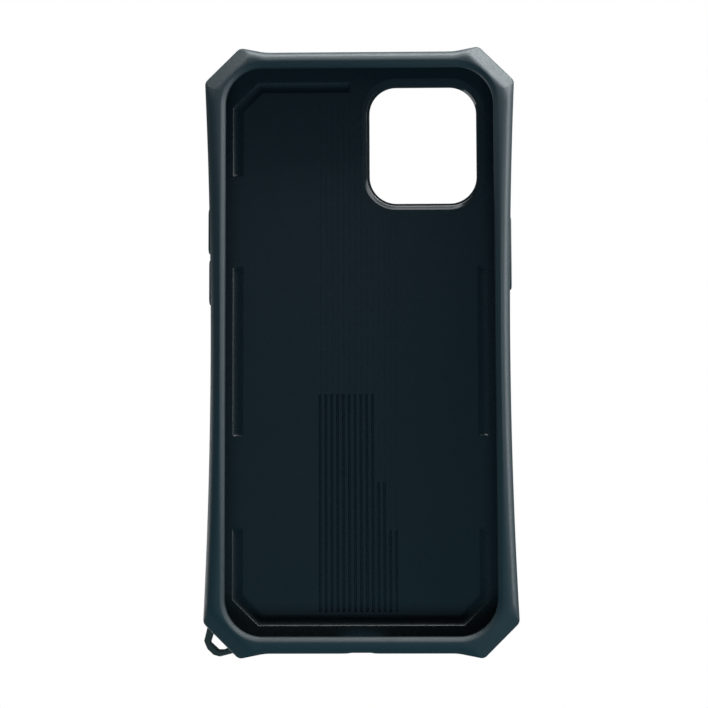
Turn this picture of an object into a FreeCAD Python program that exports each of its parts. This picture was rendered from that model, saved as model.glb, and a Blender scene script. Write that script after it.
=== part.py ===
import FreeCAD, Part
import math
import os

Vector = FreeCAD.Vector

# Protective case for a 6.1-inch phone, lying on its back with the screen opening upwards.
# X runs across the case, +Y towards its top edge (camera end), +Z out of the screen opening.
# The origin is the middle of the case, on the surface that its back rests on. Millimetres.

# The phone that the case holds, and the room around it
phone_width = 71.5
phone_length = 146.7
phone_thickness = 7.4
phone_corner_radius = 10.5
phone_clearance = 0.1

# Outer outline: waisted long sides, flared corners with a flat facet, small horns on the short edges
waist_half_width = 37.77
flare_corner = (39.42, 68.35)
horn_corner = (30.5, 77.2)
edge_corner = (24.0, 75.9)
flare_radius = 2.0
horn_radius = 1.8
edge_radius = 14.0

# Heights
case_height = 12.0
back_rim_thickness = 1.0
plate_thickness = 1.6
shoulder_drop = 3.6
shoulder_width = 2.8
back_round_height = 2.0
back_round_width = 1.4
lip_edge_height = 0.7

# Sloping flat on each corner: its height above the facet, and how far in it reaches the crest
corner_flat_height = 9.0
corner_flat_width = 4.0

# Inner edge of the screen lip, of the back rim, and the edge of the plate held in the rim
lip_overlap = 2.0
lip_corner_radius = 9.5
lip_slope_width = 1.1
back_rim_overlap = 1.75
plate_edge_hold = 0.9

# Camera window in the upper right of the plate
window_width = 27.7
window_length = 30.5
window_center = (16.4, 53.4)
window_radius = 7.0
guard_bevel = 1.8
guard_wall = 2.0
guard_flange = 2.6
guard_edge_height = 1.8
guard_back_chamfer = 0.25

# Recessed channels on the inside of the plate, each with a raised rib behind it
channel_depth = 0.7
channel_slope = 0.6
rib_height = 0.7
rib_margin = 0.5
side_channel_x = (30.0, 32.8)
side_channel_half_length = 21.8
corner_channel_low = 45.2
end_channel_y = (67.0, 69.8)
outer_corner_cut = 6.6
inner_corner_cut = 5.5
camera_side_end = 3.0

# Grooves down the middle of the plate: deep ones from the bottom up to stepped ends, shallow beyond
groove_pitch = 1.49
groove_first_x = -10.4
groove_low = -66.4
groove_high = 66.4
deep_groove_width = 0.6
deep_groove_depth = 0.4
fine_groove_width = 0.4
fine_groove_depth = 0.1
deep_groove_tops = [-11.1] * 10 + [-33.6] * 2 + [-45.7] * 2
groove_window_gap = 3.0

# Side buttons: middle and length along Y, and which side they are on
buttons = {
    "volume_up_button": (30.3, 11.6, -1),
    "volume_down_button": (17.2, 11.6, -1),
    "side_button": (24.35, 18.7, 1),
}
button_height = 3.4
button_proud = 0.42
button_edge_radius = 0.34
button_travel = 0.45
button_gap = 0.15
button_flange = 0.5
button_flange_thickness = 0.45
button_skin = 0.55
button_stop_gap = 0.05
button_nub_inset = 2.2
button_nub_height = 1.8
button_nub_tip = 36.22

# Openings in the walls
port_width = 12.4
port_height = 6.4
port_notch_flat = 4.8
port_notch_width = 8.4
port_notch_depth = 0.45
sound_slot_width = 12.0
sound_slot_height = 2.4
sound_slot_center = 16.0
switch_slot_center = 46.5
switch_slot_length = 11.0
switch_slot_height = 5.0
slot_chamfer = 0.5

# Lanyard loop on the lower left corner facet. Points are distances along the facet and out of it.
loop_outline = [(-5.1, -1.0), (-4.7, 0.9), (-2.95, 3.8), (-0.95, 4.6),
                (1.15, 4.55), (2.6, 3.75), (4.4, 0.8), (4.8, -1.0)]
loop_hole = [(-2.85, 0.4), (2.9, 0.4), (2.2, 2.0), (1.3, 2.9), (-1.5, 3.0)]
loop_tongue = [(-3.9, 0), (-3.9, -1.7), (3.9, -1.7), (3.9, 0)]
loop_base_height = 1.2
loop_thickness = 3.0
loop_tongue_inset = 0.6
loop_outline_radius = 0.9
loop_hole_radius = 0.4
loop_edge_radius = 0.35

# Cutting solids reach past the faces that they open; tapered ones run on only a little
overshoot = 3.0
taper_overrun = 0.05
sliver = 0.01

# Derived places
plate_inner_z = back_rim_thickness + plate_thickness
phone_middle_z = plate_inner_z + phone_thickness / 2
lip_underside_z = plate_inner_z + phone_thickness + phone_clearance
pocket_half_width = phone_width / 2 + phone_clearance
pocket_half_length = phone_length / 2 + phone_clearance
half_length = edge_corner[1]
side_rise = flare_corner[0] - waist_half_width
side_radius = (flare_corner[1] ** 2 + side_rise ** 2) / (2 * side_rise)


def shifted_line(start, end, inset):
    """Point and direction of a line moved inwards (to its left) by inset."""
    run = Vector(end[0] - start[0], end[1] - start[1], 0).normalize()
    inward = Vector(-run.y, run.x, 0)
    return Vector(start[0], start[1], 0) + inward * inset, run


def crossing(first, second):
    """Where two lines, each a point and a direction, cross."""
    gap = second[0] - first[0]
    turn = first[1].x * second[1].y - first[1].y * second[1].x
    along = (gap.x * second[1].y - gap.y * second[1].x) / turn
    return first[0] + first[1] * along


def inset_polygon(points, inset):
    """The polygon (anticlockwise) with each edge moved inwards; a negative inset grows it."""
    count = len(points)
    lines = [shifted_line(points[i], points[(i + 1) % count], inset) for i in range(count)]
    corners = [crossing(lines[i - 1], lines[i]) for i in range(count)]
    return [(corner.x, corner.y) for corner in corners]


def polygon_wire(points, z):
    corners = [Vector(x, y, z) for x, y in points]
    return Part.makePolygon(corners + corners[:1])


def corner_arc(before, corner, after, radius):
    """The arc that rounds a corner between two straight runs."""
    back = (before - corner).normalize()
    ahead = (after - corner).normalize()
    half_angle = back.getAngle(ahead) / 2
    reach = radius / math.tan(half_angle)
    middle = (back + ahead).normalize() * (radius / math.sin(half_angle))
    center = corner + middle
    near_corner = center - (back + ahead).normalize() * radius
    return Part.Arc(corner + back * reach, near_corner, corner + ahead * reach)


def mirrored_arc(arc, flip_x, flip_y):
    """An arc of the upper right quarter, placed in another quarter, still running anticlockwise."""
    middle = arc.value((arc.FirstParameter + arc.LastParameter) / 2)
    points = [Vector(p.x * flip_x, p.y * flip_y, 0) for p in (arc.StartPoint, middle, arc.EndPoint)]
    if flip_x != flip_y:
        points.reverse()
    return Part.Arc(*points)


def quarter_arcs(inset):
    """The arcs at the flare, the horn and the short edge's end, in the upper right quarter."""
    lean = math.asin(flare_corner[1] / side_radius)
    below_flare = (flare_corner[0] - math.sin(lean), flare_corner[1] - math.cos(lean))
    side = shifted_line(below_flare, flare_corner, inset)
    facet = shifted_line(flare_corner, horn_corner, inset)
    horn = shifted_line(horn_corner, edge_corner, inset)
    edge = shifted_line(edge_corner, (0, edge_corner[1]), inset)
    flare_point = crossing(side, facet)
    horn_point = crossing(facet, horn)
    edge_point = crossing(horn, edge)
    side_point = flare_point - side[1]
    middle_point = Vector(0, edge[0].y, 0)
    return [
        corner_arc(side_point, flare_point, horn_point, flare_radius),
        corner_arc(flare_point, horn_point, edge_point, horn_radius),
        corner_arc(horn_point, edge_point, middle_point, edge_radius),
    ]


def outline_wire(inset, z):
    """The outer outline of the case moved inwards by inset, at height z."""
    arcs = []
    for flip_x, flip_y in ((1, 1), (-1, 1), (-1, -1), (1, -1)):
        placed = [mirrored_arc(arc, flip_x, flip_y) for arc in quarter_arcs(inset)]
        arcs += placed if flip_x == flip_y else placed[::-1]
    edges = []
    for index, arc in enumerate(arcs):
        following = arcs[(index + 1) % len(arcs)]
        edges.append(arc.toShape())
        on_long_side = abs(following.StartPoint.y - arc.EndPoint.y) > half_length
        if on_long_side:
            waist_x = math.copysign(waist_half_width - inset, arc.EndPoint.x)
            edges.append(Part.Arc(arc.EndPoint, Vector(waist_x, 0, 0), following.StartPoint).toShape())
        else:
            edges.append(Part.makeLine(arc.EndPoint, following.StartPoint))
    wire = Part.Wire(edges)
    wire.translate(Vector(0, 0, z))
    return wire


def rounded_rectangle(half_x, half_y, radius, z, center=(0, 0)):
    """Wire of a rectangle with rounded corners, in a plane of constant z."""
    edges = []
    for quarter in range(4):
        sign_x = (1, -1, -1, 1)[quarter]
        sign_y = (1, 1, -1, -1)[quarter]
        middle = Vector(center[0] + sign_x * (half_x - radius), center[1] + sign_y * (half_y - radius), z)
        turns = [math.radians(90 * quarter + extra) for extra in (0, 45, 90)]
        ends = [middle + Vector(math.cos(turn), math.sin(turn), 0) * radius for turn in turns]
        edges.append(Part.Arc(*ends).toShape())
    starts = [edge.Vertexes[0].Point for edge in edges]
    finishes = [edge.Vertexes[-1].Point for edge in edges]
    outline = []
    for quarter in range(4):
        outline.append(edges[quarter])
        outline.append(Part.makeLine(finishes[quarter], starts[(quarter + 1) % 4]))
    return Part.Wire(outline)


def prism(wire, height):
    return Part.Face(wire).extrude(Vector(0, 0, height))


def pocket_prism(margin, low, high):
    """A block with the phone pocket's outline, grown by margin, between two heights."""
    wire = rounded_rectangle(pocket_half_width + margin, pocket_half_length + margin,
                             phone_corner_radius + margin, low)
    return prism(wire, high - low)


def obround_bar(length, height, center, direction, reach):
    """A bar with round ends: length along the wall, height along Z, pushed through the wall."""
    radius = height / 2
    along = Vector(0, 1, 0) if abs(direction.x) > 0.5 else Vector(1, 0, 0)
    up = Vector(0, 0, 1)
    half = along * (length / 2 - radius)
    corners = [center + half - up * radius, center + half + up * radius,
               center - half + up * radius, center - half - up * radius]
    edges = [
        Part.Arc(corners[0], center + half + along * radius, corners[1]).toShape(),
        Part.makeLine(corners[1], corners[2]),
        Part.Arc(corners[2], center - half - along * radius, corners[3]).toShape(),
        Part.makeLine(corners[3], corners[0]),
    ]
    return Part.Face(Part.Wire(edges)).extrude(direction * reach)


def corner_flat(flip_x, flip_y):
    """The wedge that leaves a corner with a flat top, sloping down from the crest to the facet."""
    start = Vector(flare_corner[0] * flip_x, flare_corner[1] * flip_y, 0)
    end = Vector(horn_corner[0] * flip_x, horn_corner[1] * flip_y, 0)
    along = (end - start).normalize()
    outward = Vector(along.y, -along.x, 0) * (flip_x * flip_y)
    first = start - along * overshoot
    profile = [(-corner_flat_width, case_height), (0, corner_flat_height), (overshoot, corner_flat_height),
               (overshoot, case_height + overshoot), (-corner_flat_width, case_height + overshoot)]
    corners = [first + outward * out + Vector(0, 0, z) for out, z in profile]
    reach = (end - start).Length + 2 * overshoot
    return Part.Face(Part.makePolygon(corners + corners[:1])).extrude(along * reach)


def outer_body():
    """The whole outside of the case as one block: rounded back edge, straight wall, sloped shoulder."""
    steps = 4
    back_sections = []
    shoulder_sections = []
    for step in range(steps + 1):
        turn = math.radians(90 * step / steps)
        back_inset = back_round_width * (1 - math.sin(turn))
        back_sections.append(outline_wire(back_inset, back_round_height * (1 - math.cos(turn))))
        shoulder_inset = shoulder_width * (1 - math.cos(turn))
        shoulder_z = case_height - shoulder_drop * (1 - math.sin(turn))
        shoulder_sections.append(outline_wire(shoulder_inset, shoulder_z))
    back = Part.makeLoft(back_sections, True, False)
    wall_height = case_height - shoulder_drop - back_round_height
    wall = prism(outline_wire(0, back_round_height), wall_height)
    shoulder = Part.makeLoft(shoulder_sections, True, False)
    level = Part.makeBox(4 * waist_half_width, 4 * half_length, case_height)
    level.translate(Vector(-2 * waist_half_width, -2 * half_length, 0))
    flats = [corner_flat(flip_x, flip_y) for flip_x in (-1, 1) for flip_y in (-1, 1)]
    return back.fuse([wall, shoulder]).common(level).cut(flats)


def lip_funnel():
    """The screen opening: a short upright edge, then a slope that widens up to the lip's crest."""
    half_x = pocket_half_width - lip_overlap
    half_y = pocket_half_length - lip_overlap
    edge_z = lip_underside_z + lip_edge_height
    edge = prism(rounded_rectangle(half_x, half_y, lip_corner_radius, lip_underside_z - overshoot),
                 lip_edge_height + overshoot)
    slope_sections = []
    for grow, z in ((0, edge_z), (lip_slope_width, case_height + taper_overrun)):
        slope_sections.append(rounded_rectangle(half_x + grow, half_y + grow, lip_corner_radius + grow, z))
    return edge.fuse(Part.makeLoft(slope_sections, True, True))


def wall_surface_x(y):
    """Half-width of the outside wall at a place along its waisted side."""
    return waist_half_width + side_radius - math.sqrt(side_radius ** 2 - y ** 2)


def button_block(center_y, side, length, height, low_x, high_x, radius):
    """A rounded block across a side wall, from low_x to high_x measured from the middle plane."""
    block = Part.makeBox(high_x - low_x, length, height)
    block.translate(Vector(0, -length / 2, -height / 2))
    edges = [edge for edge in block.Edges if abs(edge.tangentAt(edge.FirstParameter).x) > 0.9]
    block = block.makeFillet(radius, edges)
    if side < 0:
        block = block.mirror(Vector(0, 0, 0), Vector(1, 0, 0))
    block.translate(Vector(side * low_x, center_y, phone_middle_z))
    return block


def button_levels(center_y):
    """Distances from the middle plane: outer face of the wall, and the hidden slot's two faces."""
    surface = wall_surface_x(center_y)
    slot_outer = surface - button_skin
    slot_depth = button_flange_thickness + button_travel + 2 * button_stop_gap
    return surface, slot_outer, slot_outer - slot_depth


def button_pocket(center_y, length, side):
    """What a button's place takes out of the wall: its window, its flange's slot, and its nub's hole."""
    surface, slot_outer, slot_inner = button_levels(center_y)
    window = button_block(center_y, side, length + 2 * button_gap, button_height + 2 * button_gap,
                          slot_inner, surface + overshoot, button_height / 2)
    grow = 2 * (button_flange + button_gap)
    slot = button_block(center_y, side, length + grow, button_height + grow,
                        slot_inner, slot_outer, button_height / 2)
    nub_hole = button_block(center_y, side, length - 2 * button_nub_inset + 2 * button_gap,
                            button_nub_height + 2 * button_gap,
                            pocket_half_width - overshoot, slot_outer, button_nub_height / 2)
    return window.fuse([slot, nub_hole])


def button_solid(center_y, length, side):
    """A button: outer cap, the flange that keeps it in the wall, and the nub that meets the phone."""
    surface, slot_outer = button_levels(center_y)[:2]
    flange_outer = slot_outer - button_stop_gap
    flange_inner = flange_outer - button_flange_thickness
    cap = button_block(center_y, side, length, button_height,
                       flange_inner, surface + button_proud, button_height / 2 - sliver)
    outer_x = side * (surface + button_proud)
    rim = [edge for edge in cap.Edges if abs(edge.CenterOfMass.x - outer_x) < sliver]
    cap = cap.makeFillet(button_edge_radius, rim)
    flange = button_block(center_y, side, length + 2 * button_flange, button_height + 2 * button_flange,
                          flange_inner, flange_outer, button_height / 2)
    nub = button_block(center_y, side, length - 2 * button_nub_inset, button_nub_height,
                       button_nub_tip, flange_outer, button_nub_height / 2 - sliver)
    return cap.fuse([flange, nub]).removeSplitter()


def bottom_wall_bar(center_x, width, height):
    """A bar with round ends pushed through the lower short wall."""
    outside = Vector(center_x, -half_length - overshoot, phone_middle_z)
    reach = half_length - pocket_half_length + 2 * overshoot
    return obround_bar(width, height, outside, Vector(0, 1, 0), reach)


def port_cut():
    """Charging port opening in the lower wall, with a shallow notch in the outer face around it."""
    notch = polygon_wire([
        (-port_notch_width / 2, -half_length),
        (-port_notch_width / 2, -half_length - overshoot),
        (port_notch_width / 2, -half_length - overshoot),
        (port_notch_width / 2, -half_length),
        (port_notch_flat / 2, -half_length + port_notch_depth),
        (-port_notch_flat / 2, -half_length + port_notch_depth),
    ], 0)
    return bottom_wall_bar(0, port_width, port_height).fuse(prism(notch, case_height))


def switch_slot():
    """Opening in the left wall for the phone's mute switch, flared on the outside."""
    surface = wall_surface_x(switch_slot_center)
    outside = Vector(-surface - overshoot, switch_slot_center, phone_middle_z)
    slot = obround_bar(switch_slot_length, switch_slot_height, outside, Vector(1, 0, 0),
                       surface - pocket_half_width + 2 * overshoot)
    flare = obround_bar(switch_slot_length + 2 * slot_chamfer, switch_slot_height + 2 * slot_chamfer,
                        outside, Vector(1, 0, 0), overshoot + slot_chamfer)
    return slot.fuse(flare)


def facet_frame():
    """Middle of the lower left corner facet, the direction along it, and the way out of it."""
    start = Vector(-flare_corner[0], -flare_corner[1], 0)
    end = Vector(-horn_corner[0], -horn_corner[1], 0)
    along = (end - start).normalize()
    return (start + end) / 2, along, Vector(along.y, -along.x, 0)


def loop_polygon(points, z):
    """Wire from points given as (distance along the facet, distance out of it)."""
    middle, along, outward = facet_frame()
    corners = [middle + along * a + outward * b + Vector(0, 0, z) for a, b in points]
    return Part.makePolygon(corners + corners[:1])


def upright_edges(shape):
    return [edge for edge in shape.Edges if abs(edge.tangentAt(edge.FirstParameter).z) > 0.9]


def lanyard_loop():
    """A bar bent into a loop that stands out of the corner facet, with a tongue held in the corner."""
    middle, _, outward = facet_frame()
    body = prism(loop_polygon(loop_outline, loop_base_height), loop_thickness)
    free = [edge for edge in upright_edges(body) if (edge.CenterOfMass - middle).dot(outward) > 0]
    body = body.makeFillet(loop_outline_radius, free)
    hole = prism(loop_polygon(loop_hole, loop_base_height), loop_thickness)
    body = body.cut(hole.makeFillet(loop_hole_radius, upright_edges(hole)))
    rims = []
    for edge in body.Edges:
        level = abs(edge.tangentAt(edge.FirstParameter).z) < 0.1
        if level and (edge.CenterOfMass - middle).dot(outward) > 0.1:
            rims.append(edge)
    body = body.makeFillet(loop_edge_radius, rims)
    tongue = prism(loop_polygon(loop_tongue, loop_base_height + loop_tongue_inset),
                   loop_thickness - 2 * loop_tongue_inset)
    return body.fuse(tongue).removeSplitter()


def bumper_frame():
    """The soft frame: wall, screen lip, back rim, corners, and every opening in them."""
    pocket = pocket_prism(0, plate_inner_z - sliver, lip_underside_z)
    plate_seat = pocket_prism(plate_edge_hold, back_rim_thickness, plate_inner_z)
    back_opening = pocket_prism(-back_rim_overlap, -overshoot, back_rim_thickness + sliver)
    cuts = [pocket, plate_seat, back_opening, lip_funnel(), port_cut(), switch_slot(), lanyard_loop()]
    for side in (-1, 1):
        cuts.append(bottom_wall_bar(side * sound_slot_center, sound_slot_width, sound_slot_height))
    for center_y, length, side in buttons.values():
        cuts.append(button_pocket(center_y, length, side))
    return outer_body().cut(cuts).removeSplitter()


def side_channels():
    """Outlines of the two straight channels beside the long sides."""
    low_x, high_x = side_channel_x
    reach = side_channel_half_length
    right = [(low_x, -reach), (high_x, -reach), (high_x, reach), (low_x, reach)]
    left = [(-x, y) for x, y in right]
    return [right, left[::-1]]


def corner_channel(end_x):
    """Outline of a channel that runs up a side, round a cut corner and along the end to end_x."""
    low_x, high_x = side_channel_x
    low_y, high_y = end_channel_y
    return [
        (low_x, corner_channel_low), (high_x, corner_channel_low),
        (high_x, high_y - outer_corner_cut), (high_x - outer_corner_cut, high_y),
        (end_x, high_y), (end_x, low_y),
        (low_x - inner_corner_cut, low_y), (low_x, low_y - inner_corner_cut),
    ]


def channel_outlines():
    """Outlines of the recessed channels, anticlockwise: the lower end's runs right across the plate."""
    camera_side = window_center[0] - window_width / 2 - guard_wall - camera_side_end
    upper = [(-x, y) for x, y in corner_channel(-camera_side)][::-1]
    quarter = corner_channel(0)
    high_run = [(x, -y) for x, y in quarter[:4]]
    low_run = [(x, -y) for x, y in quarter[6:]]
    lower = [(-x, y) for x, y in high_run] + high_run[::-1] + low_run[::-1] + [(-x, y) for x, y in low_run]
    return side_channels() + [upper, lower]


def sloped_block(points, wide_z, narrow_z, slope):
    """A block whose outline shrinks by slope from wide_z to narrow_z."""
    wires = [polygon_wire(points, wide_z), polygon_wire(inset_polygon(points, slope), narrow_z)]
    return Part.makeLoft(wires, True, True)


def channel_cut(points):
    """A channel's inside, its sloped walls carried on a little above the plate."""
    overrun = taper_overrun * channel_depth
    widened = inset_polygon(points, -taper_overrun * channel_slope)
    return sloped_block(widened, plate_inner_z + overrun, plate_inner_z - channel_depth,
                        (1 + taper_overrun) * channel_slope)


def channel_rib(points):
    """The rib on the plate's back that stands behind a channel."""
    widened = inset_polygon(points, -rib_margin)
    return sloped_block(widened, back_rim_thickness + sliver, back_rim_thickness - rib_height, channel_slope)


def groove(center_x, low, high, width, depth, face_z):
    """A straight groove cut into a face of the plate."""
    bar = Part.makeBox(width, high - low, 2 * depth)
    bar.translate(Vector(center_x - width / 2, low, face_z - depth))
    return bar


def plate_grooves():
    """Grooves on both faces: stepped deep and fine ones inside, cut short at the camera window."""
    window_low = window_center[1] - window_length / 2 - guard_wall - groove_window_gap
    window_left = window_center[0] - window_width / 2 - guard_wall - fine_groove_width
    bars = []
    for index, deep_top in enumerate(deep_groove_tops):
        x = groove_first_x + index * groove_pitch
        top = groove_high if x < window_left else window_low
        bars.append(groove(x, groove_low, deep_top, deep_groove_width, deep_groove_depth, plate_inner_z))
        bars.append(groove(x, deep_top, top, fine_groove_width, fine_groove_depth, plate_inner_z))
        bars.append(groove(x, groove_low, top, deep_groove_width, deep_groove_depth, back_rim_thickness))
    return bars


def window_prism(margin, low, high):
    wire = rounded_rectangle(window_width / 2 + margin, window_length / 2 + margin,
                             window_radius + margin, low, window_center)
    return prism(wire, high - low)


def back_plate():
    """The hard plate: held by its edge in the frame, channels and grooves inside, ribs outside."""
    plate = pocket_prism(plate_edge_hold, back_rim_thickness, plate_inner_z)
    outlines = channel_outlines()
    plate = plate.fuse([channel_rib(points) for points in outlines])
    cuts = [channel_cut(points) for points in outlines]
    cuts.append(window_prism(guard_wall, 0, case_height))
    return plate.cut(cuts + plate_grooves()).removeSplitter()


def camera_guard():
    """Ring around the camera window: bevelled inside, standing up to the back rim's level outside."""
    wall = window_prism(guard_wall, 0, plate_inner_z)
    flange = window_prism(guard_flange, 0, back_rim_thickness)
    bevel_sections = []
    for margin, z in ((0, guard_edge_height), (guard_bevel, plate_inner_z + sliver)):
        bevel_sections.append(rounded_rectangle(window_width / 2 + margin, window_length / 2 + margin,
                                                window_radius + margin, z, window_center))
    bevel = Part.makeLoft(bevel_sections, True, True)
    opening = window_prism(0, -overshoot, case_height)
    ring = wall.fuse(flange).cut([opening, bevel]).removeSplitter()
    lower = [edge for edge in ring.Edges if abs(edge.CenterOfMass.z) < sliver]
    return ring.makeChamfer(guard_back_chamfer, lower)


nodes = {
    "bumper_frame": bumper_frame(),
    "back_plate": back_plate(),
    "camera_guard": camera_guard(),
    "lanyard_loop": lanyard_loop(),
}
for name, (center_y, length, side) in buttons.items():
    nodes[name] = button_solid(center_y, length, side)

os.makedirs("parts", exist_ok=True)
for name, shape in nodes.items():
    box = shape.BoundBox
    print(f"{name}: {len(shape.Solids)} solid, valid {shape.isValid()}, {shape.Volume:.0f} mm3,",
          f"x {box.XMin:.2f}..{box.XMax:.2f} y {box.YMin:.2f}..{box.YMax:.2f}",
          f"z {box.ZMin:.2f}..{box.ZMax:.2f}")
    shape.exportStep(f"parts/{name}.step")
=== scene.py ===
import math

import bmesh
import bpy
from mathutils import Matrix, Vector


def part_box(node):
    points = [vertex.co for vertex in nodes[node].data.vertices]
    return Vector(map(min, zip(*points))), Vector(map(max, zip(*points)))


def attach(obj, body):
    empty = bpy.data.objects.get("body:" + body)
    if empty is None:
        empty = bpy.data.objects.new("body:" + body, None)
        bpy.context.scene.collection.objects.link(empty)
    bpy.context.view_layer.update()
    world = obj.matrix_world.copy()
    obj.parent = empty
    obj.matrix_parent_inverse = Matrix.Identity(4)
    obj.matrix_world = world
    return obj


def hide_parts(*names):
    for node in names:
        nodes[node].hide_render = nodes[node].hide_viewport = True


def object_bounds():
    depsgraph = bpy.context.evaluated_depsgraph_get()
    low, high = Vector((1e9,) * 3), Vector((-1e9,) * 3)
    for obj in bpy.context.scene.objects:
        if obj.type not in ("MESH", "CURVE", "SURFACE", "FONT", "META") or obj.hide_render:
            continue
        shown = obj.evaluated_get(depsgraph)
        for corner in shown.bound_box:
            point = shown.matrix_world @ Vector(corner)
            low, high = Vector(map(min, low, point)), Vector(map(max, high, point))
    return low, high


MM = 0.001

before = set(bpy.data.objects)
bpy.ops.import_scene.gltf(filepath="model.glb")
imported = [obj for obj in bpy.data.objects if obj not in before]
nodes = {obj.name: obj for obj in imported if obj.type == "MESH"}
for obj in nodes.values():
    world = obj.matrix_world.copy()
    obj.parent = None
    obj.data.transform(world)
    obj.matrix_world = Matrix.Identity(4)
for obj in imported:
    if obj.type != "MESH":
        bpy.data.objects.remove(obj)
cad_low, cad_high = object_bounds()


# Sizes in millimetres. Z runs up from the back, and the screen opening is at the top.

# The frame's outline in its upper right quarter: a waisted side, a flared corner with a flat
# facet, a small horn, and the straight short edge
WAIST = 37.77
FLARE_CORNER = (39.42, 68.35)
HORN_CORNER = (30.5, 77.2)
EDGE_CORNER = (24.0, 75.9)
FLARE_RADIUS = 2.0
HORN_RADIUS = 1.8
EDGE_RADIUS = 14.0

# The frame's section: its shoulder, the flats on its corners, its crest with the edges' inset and
# growth and its fall towards them, its lip, back rim and back edge
SHOULDER_WIDTH = 2.8
SHOULDER_LOW = 8.2
CORNER_FLAT_LOW = 9.0
CORNER_FLAT_WIDTH = 4.0
CREST_INSET = 2.5
CREST_SOFTER = 2.0
CREST_GROWTH = 1.18
CREST_FALL = 0.05
LIP_DEPTH = 1.9
RIM_THICKNESS = 1.0
BACK_ROUND = (1.4, 2.0)

# Rounded rectangles inside the frame: half width, half length, corner radius
LIP_OPENING = (33.85, 71.45, 9.5)
POCKET = (35.85, 73.45, 10.6)
PLATE_SEAT = (36.75, 74.35, 11.5)
BACK_OPENING = (34.1, 71.7, 8.85)

# Openings in the walls: length and height, and where their middles are along the wall
PORT = (12.4, 6.4)
SOUND_SLOT = (12.0, 2.4)
SOUND_SLOT_MIDDLE = 16.0
SWITCH_SLOT = (11.0, 5.0)
SWITCH_SLOT_MIDDLE = 46.5
MOUTH_ROUND = 0.4
NOTCH_HALF_WIDTH = 4.2
NOTCH_HALF_FLAT = 2.4
NOTCH_DEPTH = 0.45

# Side buttons: how far they stand out, the gap round them, their flange, the wall's skin over it,
# the depth of the flange's slot, and the nub
BUTTON_PROUD = 0.42
BUTTON_GAP = 0.15
BUTTON_FLANGE = 0.5
BUTTON_SKIN = 0.55
BUTTON_SLOT_DEPTH = 1.0
NUB_SHORTER = 4.4
NUB_HEIGHT = 1.8

# The lanyard loop's foot and tongue: half length, depth, and how far inside the loop's top and bottom
LOOP_FOOT = (4.85, 1.0, 0)
LOOP_TONGUE = (3.9, 1.7, 0.6)

# How far cutting solids reach past a wall's outer and inner faces
CUT_REACH = 2.0
INNER_REACH = 0.5

# The camera window's corner radius, and the widths of the guard's wall and flange round it
WINDOW_RADIUS = 7.0
GUARD_WALL = 2.0
GUARD_FLANGE = 2.6

# The plate: its thickness, where its channels run, and its grooves
PLATE_THICKNESS = 1.6
CHANNEL_SIDE_X = 32.8
CHANNEL_SIDE_REACH = 21.8
CHANNEL_END_Y = 69.8
CHANNEL_CORNER_CUT = 6.6
CHANNEL_CORNER_LOW = 45.2
WINDOW_GAP = 3.0
GROOVE_FIRST_X = -10.4
GROOVE_PITCH = 1.49
GROOVE_LOW = -66.4
GROOVE_HIGH = 66.4
DEEP_GROOVE_TOPS = [-11.1] * 10 + [-33.6] * 2 + [-45.7] * 2

case_height = cad_high[2] / MM
plate_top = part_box("camera_guard")[1][2] / MM
button_low, button_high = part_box("side_button")
phone_middle = (button_low[2] + button_high[2]) / 2 / MM


# Outlines

def shifted_line(start, end, inset):
    """Point and direction of a line moved inwards (to its left) by inset."""
    run = (Vector(end) - Vector(start)).normalized()
    return Vector(start) + Vector((-run.y, run.x)) * inset, run


def crossing(first, second):
    """Where two lines, each a point and a direction, cross."""
    gap = second[0] - first[0]
    turn = first[1].x * second[1].y - first[1].y * second[1].x
    return first[0] + first[1] * ((gap.x * second[1].y - gap.y * second[1].x) / turn)


def rounded_corner(before, corner, after, radius, steps):
    """Points round a corner between two straight runs."""
    back = (before - corner).normalized()
    ahead = (after - corner).normalized()
    half_angle = back.angle(ahead) / 2
    centre = corner + (back + ahead).normalized() * (radius / math.sin(half_angle))
    first = corner + back * (radius / math.tan(half_angle)) - centre
    turn = math.copysign(math.pi - 2 * half_angle, back.x * first.y - back.y * first.x)
    points = []
    for step in range(steps + 1):
        angle = turn * step / steps
        points.append(centre + Vector((first.x * math.cos(angle) - first.y * math.sin(angle),
                                       first.x * math.sin(angle) + first.y * math.cos(angle))))
    return points


def between(start, end, steps):
    """Evenly spaced points from start to end, both left out."""
    return [start.lerp(end, step / steps) for step in range(1, steps)]


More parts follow.
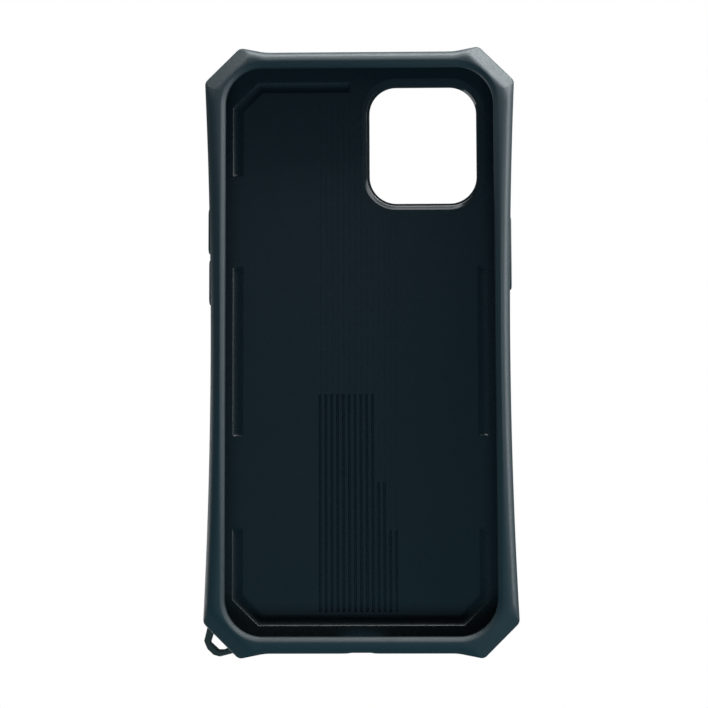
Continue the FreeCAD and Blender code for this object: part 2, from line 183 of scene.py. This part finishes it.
def outer_loop(inset, softer=0.0):
    """Points round the frame's outline moved inwards by inset, its corner radii larger by softer."""
    rise = FLARE_CORNER[0] - WAIST
    side_radius = (FLARE_CORNER[1] ** 2 + rise ** 2) / (2 * rise)
    lean = math.asin(FLARE_CORNER[1] / side_radius)
    below_flare = (FLARE_CORNER[0] - math.sin(lean), FLARE_CORNER[1] - math.cos(lean))
    side = shifted_line(below_flare, FLARE_CORNER, inset)
    facet = shifted_line(FLARE_CORNER, HORN_CORNER, inset)
    horn = shifted_line(HORN_CORNER, EDGE_CORNER, inset)
    edge = shifted_line(EDGE_CORNER, (0, EDGE_CORNER[1]), inset)
    flare_point = crossing(side, facet)
    horn_point = crossing(facet, horn)
    edge_point = crossing(horn, edge)
    middle_point = Vector((0, edge[0].y))
    flare = rounded_corner(flare_point - side[1], flare_point, horn_point, FLARE_RADIUS + softer, 10)
    tip = rounded_corner(flare_point, horn_point, edge_point, HORN_RADIUS + softer, 10)
    foot = rounded_corner(horn_point, edge_point, middle_point, EDGE_RADIUS, 8)
    quarter = []
    side_steps = 40
    for step in range(side_steps):
        share = step / side_steps
        x = WAIST - inset + (flare[0].x - WAIST + inset) * share ** 2
        quarter.append(Vector((x, flare[0].y * share)))
    quarter += flare + between(flare[-1], tip[0], 12) + tip + between(tip[-1], foot[0], 4)
    quarter += foot + between(foot[-1], middle_point, 16) + [middle_point]
    upper = quarter + [Vector((-p.x, p.y)) for p in quarter[-2::-1]]
    return upper + [Vector((p.x, -p.y)) for p in upper[-2:0:-1]]


def nearest_loop(size, grow, guide):
    """For each guide point, the nearest point of a rounded rectangle grown by grow."""
    half_x, half_y, radius = size
    loop = []
    for point in guide:
        core = Vector((max(radius - half_x, min(half_x - radius, point.x)),
                       max(radius - half_y, min(half_y - radius, point.y))))
        loop.append(core + (point - core).normalized() * (radius + grow))
    return loop


def mixed(first, second, share):
    return [a.lerp(b, share) for a, b in zip(first, second)]


def below_corner_flat(point, z):
    """z brought down, with a soft crease, to the flat that slopes from crest to facet at a corner."""
    start, run = shifted_line(FLARE_CORNER, HORN_CORNER, 0)
    corner_point = Vector((abs(point.x), abs(point.y)))
    inside = (corner_point - start).dot(Vector((-run.y, run.x)))
    slope = (case_height - CORNER_FLAT_LOW) / CORNER_FLAT_WIDTH
    flat_z = CORNER_FLAT_LOW + slope * inside
    softness = 0.25
    if flat_z - z > 10 * softness:
        return z
    return -softness * math.log(math.exp(-z / softness) + math.exp(-flat_z / softness))


# Mesh building

def mesh_piece(name, points, faces):
    """A mesh object from points in millimetres, its faces turned outwards."""
    mesh = bpy.data.meshes.new(name)
    mesh.from_pydata([tuple(Vector(p) * MM) for p in points], [], faces)
    shape = bmesh.new()
    shape.from_mesh(mesh)
    bmesh.ops.recalc_face_normals(shape, faces=shape.faces)
    shape.to_mesh(mesh)
    shape.free()
    piece = bpy.data.objects.new(name, mesh)
    bpy.context.collection.objects.link(piece)
    return piece


def swept_ring(name, rows):
    """A closed ring: each row is a loop of points and a height, and the last row joins the first."""
    count = len(rows[0][0])
    points = []
    for loop, z in rows:
        points += [(p.x, p.y, below_corner_flat(p, z)) for p in loop]
    faces = []
    for row in range(len(rows)):
        near = row * count
        far = (row + 1) % len(rows) * count
        for index in range(count):
            following = (index + 1) % count
            faces.append((near + index, near + following, far + following, far + index))
    return mesh_piece(name, points, faces)


def stacked(name, sections):
    """A closed solid through sections: loops of the same number of 3-D points."""
    count = len(sections[0])
    points = [point for section in sections for point in section]
    last = len(points) - count
    faces = [tuple(range(count)), tuple(range(last, last + count))]
    for start in range(0, last, count):
        for index in range(count):
            following = (index + 1) % count
            above = start + count
            faces.append((start + index, start + following, above + following, above + index))
    return mesh_piece(name, points, faces)


def round_bar(name, along, centre, length, height, stations):
    """A bar with round ends at the phone's mid height.

    A station is a reach along X or Y and a growth.
    """
    steps = 8
    sections = []
    for reach, grow in stations:
        radius = height / 2 + grow
        section = []
        for sign in (1, -1):
            for step in range(steps + 1):
                turn = math.radians(-90 + 180 * step / steps)
                across = centre + sign * (length / 2 - height / 2 + radius * math.cos(turn))
                z = phone_middle + sign * radius * math.sin(turn)
                section.append((reach, across, z) if along == "X" else (across, reach, z))
        sections.append(section)
    return stacked(name, sections)


def upright_prism(name, corners, low, high):
    return stacked(name, [[(x, y, z) for x, y in corners] for z in (low, high)])


def combine(piece, others, operation):
    """Joins the other pieces to piece, or takes them out of it, in one exact boolean."""
    group = bpy.data.collections.new(piece.name + "_others")
    bpy.context.scene.collection.children.link(group)
    for other in others:
        bpy.context.collection.objects.unlink(other)
        group.objects.link(other)
    boolean = piece.modifiers.new("combine", "BOOLEAN")
    boolean.operation = operation
    boolean.operand_type = "COLLECTION"
    boolean.collection = group
    boolean.solver = "EXACT"
    apply_modifiers(piece)
    for other in others:
        bpy.data.objects.remove(other)
    bpy.data.collections.remove(group)


def apply_modifiers(piece):
    seen = piece.evaluated_get(bpy.context.evaluated_depsgraph_get())
    mesh = bpy.data.meshes.new_from_object(seen)
    piece.modifiers.clear()
    piece.data = mesh


def smooth(piece, angle=35):
    """Smooth shading, with edges sharper than angle kept crisp."""
    piece.data.shade_smooth()
    piece.data.set_sharp_from_angle(angle=math.radians(angle))
    piece.modifiers.new("even_normals", "WEIGHTED_NORMAL").keep_sharp = True


# The soft frame

def frame_rows():
    """The frame's section as loops with heights: wall, shoulder, crest, lip, pocket, rim, back edge.

    A growth is how far a loop lies outside the edge that it follows.
    """
    guide = outer_loop(0)
    rows = [(guide, z) for z in (BACK_ROUND[1], 3.2, 4.4, 5.6, 6.8, 7.8)]
    for turn in range(0, 80, 8):
        inset = SHOULDER_WIDTH * (1 - math.cos(math.radians(turn)))
        z = SHOULDER_LOW + (case_height - SHOULDER_LOW) * math.sin(math.radians(turn))
        rows.append((outer_loop(inset, 0.8 * inset), z))
    crest_outer = outer_loop(CREST_INSET, CREST_SOFTER)
    crest_inner = nearest_loop(LIP_OPENING, CREST_GROWTH, guide)
    crest_steps = 5
    for step in range(crest_steps + 1):
        share = step / crest_steps
        z = case_height - CREST_FALL * (2 * share - 1) ** 2
        rows.append((mixed(crest_outer, crest_inner, share), z))
    lip = [(1.04, 0.12), (0.86, 0.24), (0.68, 0.38), (0.5, 0.53), (0.34, 0.67), (0.22, 0.8),
           (0.11, 0.96), (0.04, 1.14), (0, 1.35), (0, LIP_DEPTH - 0.18), (0.04, LIP_DEPTH - 0.07),
           (0.14, LIP_DEPTH)]
    for grow, drop in lip:
        rows.append((nearest_loop(LIP_OPENING, grow, guide), case_height - drop))
    lip_underside = case_height - LIP_DEPTH
    for grow, z in ((-0.3, lip_underside), (-0.1, lip_underside - 0.05), (0, lip_underside - 0.25),
                    (0, 8.0), (0, phone_middle), (0, 4.6), (0, plate_top)):
        rows.append((nearest_loop(POCKET, grow, guide), z))
    rows.append((nearest_loop(PLATE_SEAT, 0, guide), plate_top))
    rows.append((nearest_loop(PLATE_SEAT, 0, guide), RIM_THICKNESS))
    for grow, z in ((0, RIM_THICKNESS), (0, 0.35), (0.1, 0.1), (0.35, 0)):
        rows.append((nearest_loop(BACK_OPENING, grow, guide), z))
    back_width, back_height = BACK_ROUND
    for turn in range(0, 90, 15):
        inset = back_width * (1 - math.sin(math.radians(turn)))
        rows.append((outer_loop(inset), back_height * (1 - math.cos(math.radians(turn)))))
    return rows


def mouth(wall, inner, outer):
    """Stations of a bar through a wall whose outer face is at wall: straight, then a rounded mouth."""
    sign = math.copysign(1, outer)
    stations = [(inner, 0)]
    for turn in range(0, 91, 15):
        depth = MOUTH_ROUND * (1 - math.sin(math.radians(turn)))
        grow = MOUTH_ROUND * (1 - math.cos(math.radians(turn)))
        stations.append((wall - sign * depth, grow))
    return stations + [(outer, MOUTH_ROUND)]


def button_cutters(name):
    """The window, the flange's slot and the nub's hole of a side button."""
    low, high = (corner / MM for corner in map(Vector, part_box(name)))
    side = math.copysign(1, low.x)
    tip = max(abs(low.x), abs(high.x))
    wall = tip - BUTTON_PROUD
    slot_outer = wall - BUTTON_SKIN
    slot_inner = slot_outer - BUTTON_SLOT_DEPTH
    middle = (low.y + high.y) / 2
    flange_length = high.y - low.y
    flange_height = high.z - low.z
    length = flange_length - 2 * BUTTON_FLANGE
    height = flange_height - 2 * BUTTON_FLANGE
    room = 2 * BUTTON_GAP
    window = mouth(side * wall, side * slot_inner, side * (wall + CUT_REACH))
    slot = [(side * slot_inner, 0), (side * slot_outer, 0)]
    nub_hole = [(side * (POCKET[0] - INNER_REACH), 0), (side * slot_outer, 0)]
    return [
        round_bar("window", "X", middle, length + room, height + room, window),
        round_bar("slot", "X", middle, flange_length + room, flange_height + room, slot),
        round_bar("nub_hole", "X", middle, length - NUB_SHORTER + room, NUB_HEIGHT + room, nub_hole),
    ]


def bottom_wall_cutters():
    """Charging port, sound slots, and the shallow notch in the wall's face."""
    wall = -EDGE_CORNER[1]
    inner = -POCKET[1] + INNER_REACH
    outer = wall - CUT_REACH
    notch_floor = wall + NOTCH_DEPTH
    notch = [
        (-NOTCH_HALF_WIDTH, wall), (-NOTCH_HALF_WIDTH, outer), (NOTCH_HALF_WIDTH, outer),
        (NOTCH_HALF_WIDTH, wall), (NOTCH_HALF_FLAT, notch_floor), (-NOTCH_HALF_FLAT, notch_floor),
    ]
    through_wall = mouth(wall, inner, outer)
    cutters = [
        upright_prism("notch", notch, -CUT_REACH, case_height + CUT_REACH),
        round_bar("port", "Y", 0, *PORT, through_wall),
    ]
    for middle in (-SOUND_SLOT_MIDDLE, SOUND_SLOT_MIDDLE):
        cutters.append(round_bar("sound_slot", "Y", middle, *SOUND_SLOT, through_wall))
    return cutters


def loop_socket():
    """Where the lanyard loop's foot and tongue sit in the lower left corner."""
    start = Vector(FLARE_CORNER) * -1
    end = Vector(HORN_CORNER) * -1
    along = (end - start).normalized()
    outward = Vector((along.y, -along.x))
    middle = (start + end) / 2
    loop_low, loop_high = (corner[2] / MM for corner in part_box("lanyard_loop"))
    cutters = []
    for name, (half, depth, inset) in (("foot", LOOP_FOOT), ("tongue", LOOP_TONGUE)):
        corners = [(-half, -depth), (half, -depth), (half, INNER_REACH), (-half, INNER_REACH)]
        corners = [tuple(middle + along * a + outward * b) for a, b in corners]
        cutters.append(upright_prism(name, corners, loop_low + inset, loop_high - inset))
    return cutters


def soft_frame():
    piece = swept_ring("soft_frame", frame_rows())
    wall = -WAIST - (FLARE_CORNER[0] - WAIST) * (SWITCH_SLOT_MIDDLE / FLARE_CORNER[1]) ** 2
    through_wall = mouth(wall, -POCKET[0] + INNER_REACH, wall - CUT_REACH)
    cutters = [round_bar("switch_slot", "X", SWITCH_SLOT_MIDDLE, *SWITCH_SLOT, through_wall)]
    cutters += bottom_wall_cutters() + loop_socket()
    for name in ("volume_up_button", "volume_down_button", "side_button"):
        cutters += button_cutters(name)
    combine(piece, cutters, "DIFFERENCE")
    smooth(piece)
    return piece


# The hard plate and the camera guard

def rounded_loop(middle, half_x, half_y, radius, margin=0.0, steps=16):
    """Points round a rounded rectangle grown by margin."""
    loop = []
    reach = radius + margin
    for quarter, (sign_x, sign_y) in enumerate(((1, 1), (-1, 1), (-1, -1), (1, -1))):
        centre_x = middle.x + sign_x * (half_x - radius)
        centre_y = middle.y + sign_y * (half_y - radius)
        for step in range(steps + 1):
            turn = math.radians(90 * (quarter + step / steps))
            loop.append(Vector((centre_x + reach * math.cos(turn), centre_y + reach * math.sin(turn))))
    return loop


def window_loop(margin):
    """Points round the camera window, margin outside its edge."""
    low, high = (Vector(corner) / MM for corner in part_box("camera_guard"))
    half_x = (high.x - low.x) / 2 - GUARD_FLANGE
    half_y = (high.y - low.y) / 2 - GUARD_FLANGE
    return rounded_loop((low + high) / 2, half_x, half_y, WINDOW_RADIUS, margin)


def raised(loop, z):
    return [(p.x, p.y, z) for p in loop]


def swept_band(name, path, section, base_z, sign=1, taper=0.8):
    """A band along a path whose ends run out over taper.

    A section point is how far it lies to the left of the path and how deep.
    """
    path = [Vector(point) for point in path]
    runs = [(b - a).normalized() for a, b in zip(path, path[1:])]
    lefts = [Vector((-run.y, run.x)) for run in runs]
    ends = [(0, 0.02), (0.2 * taper, 0.5), (0.6 * taper, 0.9), (taper, 1)]
    stations = [(path[0] + runs[0] * reach, lefts[0], share) for reach, share in ends]
    for index in range(1, len(runs)):
        middle = (lefts[index - 1] + lefts[index]).normalized()
        stations.append((path[index], middle / middle.dot(lefts[index]), 1))
    stations += [(path[-1] - runs[-1] * reach, lefts[-1], share) for reach, share in ends[::-1]]
    sections = []
    for place, across, share in stations:
        points = []
        for left, depth in section:
            spot = place + across * left
            points.append((spot.x, spot.y, base_z - sign * (depth * share if depth > 0 else depth)))
        sections.append(points)
    return stacked(name, sections)


def plate_channels():
    """Outer edges of the channels, each with the middle of the plate on its left."""
    corner = [
        (CHANNEL_SIDE_X, CHANNEL_CORNER_LOW),
        (CHANNEL_SIDE_X, CHANNEL_END_Y - CHANNEL_CORNER_CUT),
        (CHANNEL_SIDE_X - CHANNEL_CORNER_CUT, CHANNEL_END_Y),
    ]
    upper_end = min(point.x for point in window_loop(GUARD_WALL)) - WINDOW_GAP
    lower = [(-x, -y) for x, y in corner] + [(x, -y) for x, y in corner[::-1]]
    upper = [(upper_end, CHANNEL_END_Y)] + [(-x, y) for x, y in corner[::-1]]
    right = [(CHANNEL_SIDE_X, -CHANNEL_SIDE_REACH), (CHANNEL_SIDE_X, CHANNEL_SIDE_REACH)]
    left = [(-x, -y) for x, y in right]
    return [lower, upper, right, left]


def lengthened(path, extra):
    """The path with its first and last points moved outwards by extra."""
    first, second, before_last, last = (Vector(path[i]) for i in (0, 1, -2, -1))
    start = first - (second - first).normalized() * extra
    end = last + (last - before_last).normalized() * extra
    return [tuple(start)] + path[1:-1] + [tuple(end)]


def groove_section(width, depth):
    half = width / 2
    right = [(half + 0.05, -0.05), (half, 0), (0.92 * half, 0.75 * depth), (0.7 * half, depth)]
    return [(-x, z) for x, z in right] + [(x, z) for x, z in right[::-1]]


def plate_grooves(plate_back):
    """Grooves down the middle: inside, deep ones with fine ones beyond; on the back, plain ones."""
    window = window_loop(GUARD_WALL)
    window_left = min(point.x for point in window)
    window_low = min(point.y for point in window) - WINDOW_GAP
    deep = groove_section(0.65, 0.65)
    fine = groove_section(0.45, 0.05)
    behind = groove_section(0.6, 0.4)
    grooves = []
    for index, deep_top in enumerate(DEEP_GROOVE_TOPS):
        x = GROOVE_FIRST_X + index * GROOVE_PITCH
        top = GROOVE_HIGH if x < window_left - GROOVE_PITCH / 3 else window_low
        grooves.append(swept_band("deep", [(x, GROOVE_LOW), (x, deep_top)], deep, plate_top, taper=0.1))
        grooves.append(swept_band("fine", [(x, deep_top), (x, top)], fine, plate_top))
        grooves.append(swept_band("back", [(x, GROOVE_LOW), (x, top)], behind, plate_back, -1))
    return grooves


def hard_plate():
    """The plate: channels and grooves inside, rounded ribs behind the channels, the window's hole."""
    plate_back = plate_top - PLATE_THICKNESS
    half_x, half_y, radius = PLATE_SEAT
    outline = rounded_loop(Vector((0, 0)), half_x, half_y, radius)
    piece = stacked("hard_plate", [raised(outline, plate_back), raised(outline, plate_top)])
    rib = [(-0.5, -0.1), (-0.47, 0.15), (-0.35, 0.42), (-0.12, 0.62), (0.2, 0.7),
           (2.6, 0.7), (2.92, 0.62), (3.15, 0.42), (3.27, 0.15), (3.3, -0.1)]
    paths = plate_channels()
    ribs = [swept_band("rib", lengthened(path, 0.5), rib, plate_back) for path in paths]
    combine(piece, ribs, "UNION")
    dish = [(-0.08, -0.08), (0, 0), (0.1, 0.11), (0.35, 0.28), (0.6, 0.42), (0.85, 0.51), (1.15, 0.55),
            (1.6, 0.5), (2.05, 0.36), (2.45, 0.18), (2.75, 0.02), (2.9, -0.08)]
    cutters = [swept_band("channel", path, dish, plate_top) for path in paths]
    window = window_loop(GUARD_WALL)
    cutters.append(stacked("window", [raised(window, -CUT_REACH), raised(window, case_height)]))
    combine(piece, cutters + plate_grooves(plate_back), "DIFFERENCE")
    smooth(piece, 30)
    return piece


def camera_guard():
    """A ring round the window: flush with the plate, a bevel to the window, a rounded back edge."""
    plate_back = plate_top - PLATE_THICKNESS
    outside = [(GUARD_FLANGE, 0.25), (GUARD_FLANGE, plate_back), (GUARD_WALL, plate_back),
               (GUARD_WALL, 2.57)]
    bevel = [(1.99, plate_top), (1.95, plate_top), (1.88, 2.575), (1.75, 2.52), (1.5, 2.4), (1.2, 2.25),
             (0.95, 2.12), (0.75, 2.01), (0.62, 1.91), (0.5, 1.76), (0.37, 1.54), (0.22, 1.26),
             (0.08, 1.0)]
    back_edge = [(0, 0.8), (0, 0.5), (0.03, 0.3), (0.12, 0.12), (0.3, 0.02), (0.45, 0),
                 (2.3, 0), (2.48, 0.05), (2.57, 0.14)]
    rows = [(window_loop(margin), z) for margin, z in outside + bevel + back_edge]
    piece = swept_ring("camera_ring", rows)
    smooth(piece)
    return piece


# Materials: each is a node tree on the Principled shader, in object space.

def new_material(name):
    """An empty node material, its tree, and its surface shader."""
    material = bpy.data.materials.new(name)
    material.use_nodes = True
    tree = material.node_tree
    return material, tree, tree.nodes["Principled BSDF"]


def noise(tree, size, detail=2.0, roughness=0.5):
    """Noise whose blobs are about size across, in metres."""
    place = tree.nodes.new("ShaderNodeTexCoord")
    node = tree.nodes.new("ShaderNodeTexNoise")
    node.inputs["Scale"].default_value = 1 / size
    node.inputs["Detail"].default_value = detail
    node.inputs["Roughness"].default_value = roughness
    tree.links.new(place.outputs["Object"], node.inputs["Vector"])
    return node.outputs["Fac"]


def between_values(tree, value, low, high):
    """value turned into a number between low and high."""
    node = tree.nodes.new("ShaderNodeMapRange")
    node.inputs["To Min"].default_value = low
    node.inputs["To Max"].default_value = high
    tree.links.new(value, node.inputs["Value"])
    return node.outputs["Result"]


def between_colours(tree, value, dark, light):
    node = tree.nodes.new("ShaderNodeMix")
    node.data_type = "RGBA"
    node.inputs["A"].default_value = (*dark, 1)
    node.inputs["B"].default_value = (*light, 1)
    tree.links.new(value, node.inputs["Factor"])
    return node.outputs["Result"]


def bump(tree, height, depth, below=None):
    """Normal of a surface raised by height times depth, in metres."""
    node = tree.nodes.new("ShaderNodeBump")
    node.inputs["Strength"].default_value = 1.0
    node.inputs["Distance"].default_value = depth
    tree.links.new(height, node.inputs["Height"])
    if below is not None:
        tree.links.new(below, node.inputs["Normal"])
    return node.outputs["Normal"]


def moulded_plastic(name, dark, light, roughness, shine, grain_size, grain_depth, wave_depth):
    """Moulded plastic or rubber: mottled colour and roughness, fine grain, and slow waves."""
    material, tree, shader = new_material(name)
    patches = noise(tree, 6 * MM, 4.0, 0.6)
    tree.links.new(between_colours(tree, patches, dark, light), shader.inputs["Base Color"])
    rough_patches = noise(tree, 3 * MM, 5.0, 0.65)
    tree.links.new(between_values(tree, rough_patches, *roughness), shader.inputs["Roughness"])
    waves = bump(tree, noise(tree, 9 * MM, 1.0), wave_depth)
    grain = bump(tree, noise(tree, grain_size, 3.0, 0.6), grain_depth, waves)
    tree.links.new(grain, shader.inputs["Normal"])
    shader.inputs["IOR"].default_value = 1.5
    shader.inputs["Specular IOR Level"].default_value = shine
    return material


def soft_frame_material():
    return moulded_plastic(
        "soft_frame",
        dark=(0.014, 0.022, 0.025), light=(0.018, 0.027, 0.030),
        roughness=(0.44, 0.56), shine=0.36,
        grain_size=0.25 * MM, grain_depth=0.010 * MM, wave_depth=0.01 * MM)


def hard_plate_material():
    return moulded_plastic(
        "hard_plate",
        dark=(0.0090, 0.0128, 0.0148), light=(0.0106, 0.0144, 0.0166),
        roughness=(0.22, 0.32), shine=0.22,
        grain_size=0.4 * MM, grain_depth=0.001 * MM, wave_depth=0.004 * MM)


def guard_material():
    return moulded_plastic(
        "gloss_guard",
        dark=(0.009, 0.0128, 0.0148), light=(0.011, 0.0144, 0.0166),
        roughness=(0.11, 0.17), shine=0.35,
        grain_size=0.6 * MM, grain_depth=0.001 * MM, wave_depth=0.003 * MM)


def loop_material():
    return moulded_plastic(
        "loop_plastic",
        dark=(0.026, 0.025, 0.022), light=(0.036, 0.034, 0.030),
        roughness=(0.30, 0.42), shine=0.5,
        grain_size=0.3 * MM, grain_depth=0.006 * MM, wave_depth=0.01 * MM)


def button_material():
    return moulded_plastic(
        "button_plastic",
        dark=(0.013, 0.020, 0.023), light=(0.018, 0.026, 0.029),
        roughness=(0.40, 0.52), shine=0.4,
        grain_size=0.2 * MM, grain_depth=0.006 * MM, wave_depth=0.004 * MM)


def dress(piece, material):
    """Gives a piece one material in every slot it has."""
    slots = piece.data.materials
    if not len(slots):
        slots.append(material)
    for index in range(len(slots)):
        slots[index] = material


def stand_in(piece, material, node):
    """A hand-built piece that takes a CAD node's place on the case."""
    dress(piece, material)
    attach(piece, "case")
    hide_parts(node)


# The studio: a white backdrop all round that only the camera sees, and soft lights.

def white_glow():
    material = bpy.data.materials.new("backdrop")
    material.use_nodes = True
    tree = material.node_tree
    tree.nodes.remove(tree.nodes["Principled BSDF"])
    glow = tree.nodes.new("ShaderNodeEmission")
    glow.inputs["Color"].default_value = (1, 1, 1, 1)
    glow.inputs["Strength"].default_value = 1.0
    tree.links.new(glow.outputs["Emission"], tree.nodes["Material Output"].inputs["Surface"])
    return material


def make_backdrop():
    bpy.ops.mesh.primitive_uv_sphere_add(segments=48, ring_count=24, radius=2.5)
    backdrop = bpy.context.object
    backdrop.name = "backdrop"
    backdrop.data.materials.append(white_glow())
    backdrop.visible_diffuse = False
    backdrop.visible_glossy = False
    backdrop.visible_transmission = False
    backdrop.visible_shadow = False


def soft_box(name, heading, height, distance, size, power, colour=(0.95, 0.98, 1.0)):
    """A soft box turned towards the case: its heading from +X and its height are in degrees."""
    data = bpy.data.lights.new(name, "AREA")
    data.shape = "RECTANGLE"
    data.size, data.size_y = size
    data.energy = power
    data.color = colour
    light = bpy.data.objects.new(name, data)
    bpy.context.collection.objects.link(light)
    turn, lift = math.radians(heading), math.radians(height)
    light.location = Vector((math.cos(turn) * math.cos(lift), math.sin(turn) * math.cos(lift),
                             math.sin(lift))) * distance
    light.rotation_mode = "QUATERNION"
    light.rotation_quaternion = (-light.location).to_track_quat("-Z", "Y")
    return light


def make_lights():
    """Long low boxes graze the lip and corners; a blue fill and a box below lift the dark sides."""
    soft_box("top_box", heading=85, height=9, distance=0.24, size=(0.28, 0.08), power=1.2)
    soft_box("corner_box", heading=45, height=10, distance=0.30, size=(0.20, 0.11), power=0.75)
    soft_box("right_box", heading=3, height=10, distance=0.18, size=(0.20, 0.06), power=0.34)
    fill_box = soft_box("fill_box", heading=-90, height=50, distance=0.40, size=(0.30, 0.12), power=1.6,
                        colour=(0.42, 0.80, 1.0))
    fill_box.visible_glossy = False
    soft_box("under_box", heading=205, height=-35, distance=0.45, size=(0.40, 0.25), power=0.8)
    glint_strip = soft_box("glint_strip", heading=62, height=30, distance=0.38, size=(0.50, 0.05),
                           power=0.40)
    glint_strip.visible_diffuse = False


def make_world():
    world = bpy.data.worlds.new("studio")
    world.use_nodes = True
    background = world.node_tree.nodes["Background"]
    background.inputs["Color"].default_value = (0.62, 0.88, 1.0, 1)
    background.inputs["Strength"].default_value = 0.11
    bpy.context.scene.world = world


def make_camera():
    """Looking down on the case from a little towards its lower edge."""
    data = bpy.data.cameras.new("camera")
    data.lens = 71.1
    data.sensor_width = 36
    camera = bpy.data.objects.new("camera", data)
    camera.location = (0.0035, -0.0239, 0.360)
    camera.rotation_euler = (math.radians(3.68), math.radians(0.84), math.radians(-0.19))
    bpy.context.collection.objects.link(camera)
    bpy.context.scene.camera = camera


stand_in(soft_frame(), soft_frame_material(), "bumper_frame")
stand_in(camera_guard(), guard_material(), "camera_guard")
stand_in(hard_plate(), hard_plate_material(), "back_plate")
dress(nodes["lanyard_loop"], loop_material())
button_plastic = button_material()
for button in ("volume_up_button", "volume_down_button", "side_button"):
    dress(nodes[button], button_plastic)

make_backdrop()
make_lights()
make_world()
bpy.context.scene.view_settings.view_transform = "Standard"
make_camera()
